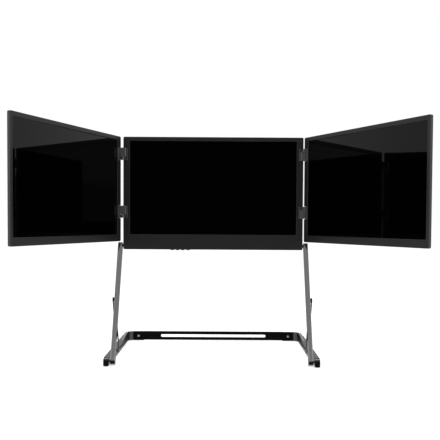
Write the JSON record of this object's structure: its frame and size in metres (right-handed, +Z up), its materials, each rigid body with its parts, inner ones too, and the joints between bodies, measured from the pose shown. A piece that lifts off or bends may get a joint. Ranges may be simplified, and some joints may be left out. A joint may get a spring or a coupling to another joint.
{
  "type": "laptop screen extender",
  "caption": "Centre screen with two fold-in side screens on leaning, foldable legs; the slotted U-shaped base stands on a desk around a laptop.",
  "frame": {"origin": "on the desk, midway between the two rails and midway between the front of the end blocks and the back of the cross bar", "axes": "+X to the user's right, along the centre screen; +Y away from the user; +Z up"},
  "size_m": [0.6803, 0.5465, 0.4575],
  "materials": {
    "bezel_plastic": "fine matte texture",
    "cover_plastic": "fine matte texture",
    "screen_glass": "glossy, dark when the screen is off",
    "lcd_stack": "satin",
    "circuit_board": "satin",
    "hinge_metal": "satin dark grey",
    "anodised_aluminium": "grey anodised, satin",
    "black_painted_steel": "black powder coat, satin",
    "black_cast_metal": "black paint, satin",
    "cap_plastic": "satin black",
    "key_plastic": "satin black",
    "steel": "bright zinc",
    "dark_steel": "dark zinc",
    "washer_plastic": "smooth",
    "foot_rubber": "matte"
  },
  "bodies": {
    "base": {"left_rail": "anodised_aluminium", "right_rail": "anodised_aluminium", "left_end_block": "black_cast_metal", "right_end_block": "black_cast_metal", "left_bracket": "black_painted_steel", "right_bracket": "black_painted_steel", "bracket_rivets": "dark_steel", "cross_bar": "black_painted_steel", "bar_screws": "steel", "bar_nuts": "steel", "leg_pivot_pins": "steel", "leg_pivot_washers": "steel", "rail_pads": "foot_rubber"},
    "legs": {"left_leg": "anodised_aluminium", "right_leg": "anodised_aluminium", "leg_top_caps": "cap_plastic", "leg_foot_caps": "cap_plastic", "strut_spacers": "dark_steel", "strut_screws": "steel"},
    "struts": {"left_strut": "black_painted_steel", "right_strut": "black_painted_steel", "strut_foot_pins": "steel"},
    "center_screen": {"center_bezel": "bezel_plastic", "center_back_cover": "cover_plastic", "center_glass": "screen_glass", "center_lcd_module": "lcd_stack", "center_control_board": "circuit_board", "center_key_switches": "washer_plastic", "center_ports": "steel", "center_case_screws": "dark_steel", "left_tilt_block": "dark_steel", "right_tilt_block": "dark_steel", "tilt_pins": "steel", "tilt_washers": "washer_plastic", "left_hinge_center_leaves": "hinge_metal", "right_hinge_center_leaves": "hinge_metal", "left_hinge_pins": "steel", "right_hinge_pins": "steel"},
    "left_wing": {"left_wing_bezel": "bezel_plastic", "left_wing_back_cover": "cover_plastic", "left_wing_glass": "screen_glass", "left_wing_lcd_module": "lcd_stack", "left_wing_control_board": "circuit_board", "left_wing_ports": "steel", "left_wing_case_screws": "dark_steel", "left_hinge_wing_leaves": "hinge_metal"},
    "right_wing": {"right_wing_bezel": "bezel_plastic", "right_wing_back_cover": "cover_plastic", "right_wing_glass": "screen_glass", "right_wing_lcd_module": "lcd_stack", "right_wing_control_board": "circuit_board", "right_wing_ports": "steel", "right_wing_case_screws": "dark_steel", "right_hinge_wing_leaves": "hinge_metal"},
    "key_1": {"key_1": "key_plastic"},
    "key_2": {"key_2": "key_plastic"},
    "key_3": {"key_3": "key_plastic"},
    "key_4": {"key_4": "key_plastic"}
  },
  "joints": [
    {"name": "leg_fold", "type": "hinge", "parent": "base", "child": "legs", "pos_m": [0, -0.1405, 0.0098], "axis": [-1, 0, 0], "range_deg": [0, 56]},
    {"name": "strut_swing", "type": "hinge", "parent": "legs", "child": "struts", "pos_m": [0, -0.08692, 0.12351], "axis": [1, 0, 0], "range_deg": [0, 112]},
    {"name": "screen_tilt", "type": "hinge", "parent": "legs", "child": "center_screen", "pos_m": [0, -0.03598, 0.23161], "axis": [1, 0, 0], "range_deg": [-25, 60]},
    {"name": "left_wing_fold", "type": "hinge", "parent": "center_screen", "child": "left_wing", "pos_m": [-0.18731, -0.04558, 0.35191], "axis": [0, 0, 1], "range_deg": [-69.9, 110.1]},
    {"name": "right_wing_fold", "type": "hinge", "parent": "center_screen", "child": "right_wing", "pos_m": [0.18781, -0.04193, 0.35191], "axis": [0, 0, -1], "range_deg": [-63.75, 116.25]},
    {"name": "key_1_press", "type": "slide", "parent": "center_screen", "child": "key_1", "axis": [0, 0, 1], "range_m": [0, 0.0006], "stiffness_N_per_m": 200, "springref_m": -0.002},
    {"name": "key_2_press", "type": "slide", "parent": "center_screen", "child": "key_2", "axis": [0, 0, 1], "range_m": [0, 0.0006], "stiffness_N_per_m": 200, "springref_m": -0.002},
    {"name": "key_3_press", "type": "slide", "parent": "center_screen", "child": "key_3", "axis": [0, 0, 1], "range_m": [0, 0.0006], "stiffness_N_per_m": 200, "springref_m": -0.002},
    {"name": "key_4_press", "type": "slide", "parent": "center_screen", "child": "key_4", "axis": [0, 0, 1], "range_m": [0, 0.0006], "stiffness_N_per_m": 200, "springref_m": -0.002}
  ],
  "couplings": [
    {"joint": "strut_swing", "follows": "leg_fold", "ratio": 2}
  ]
}
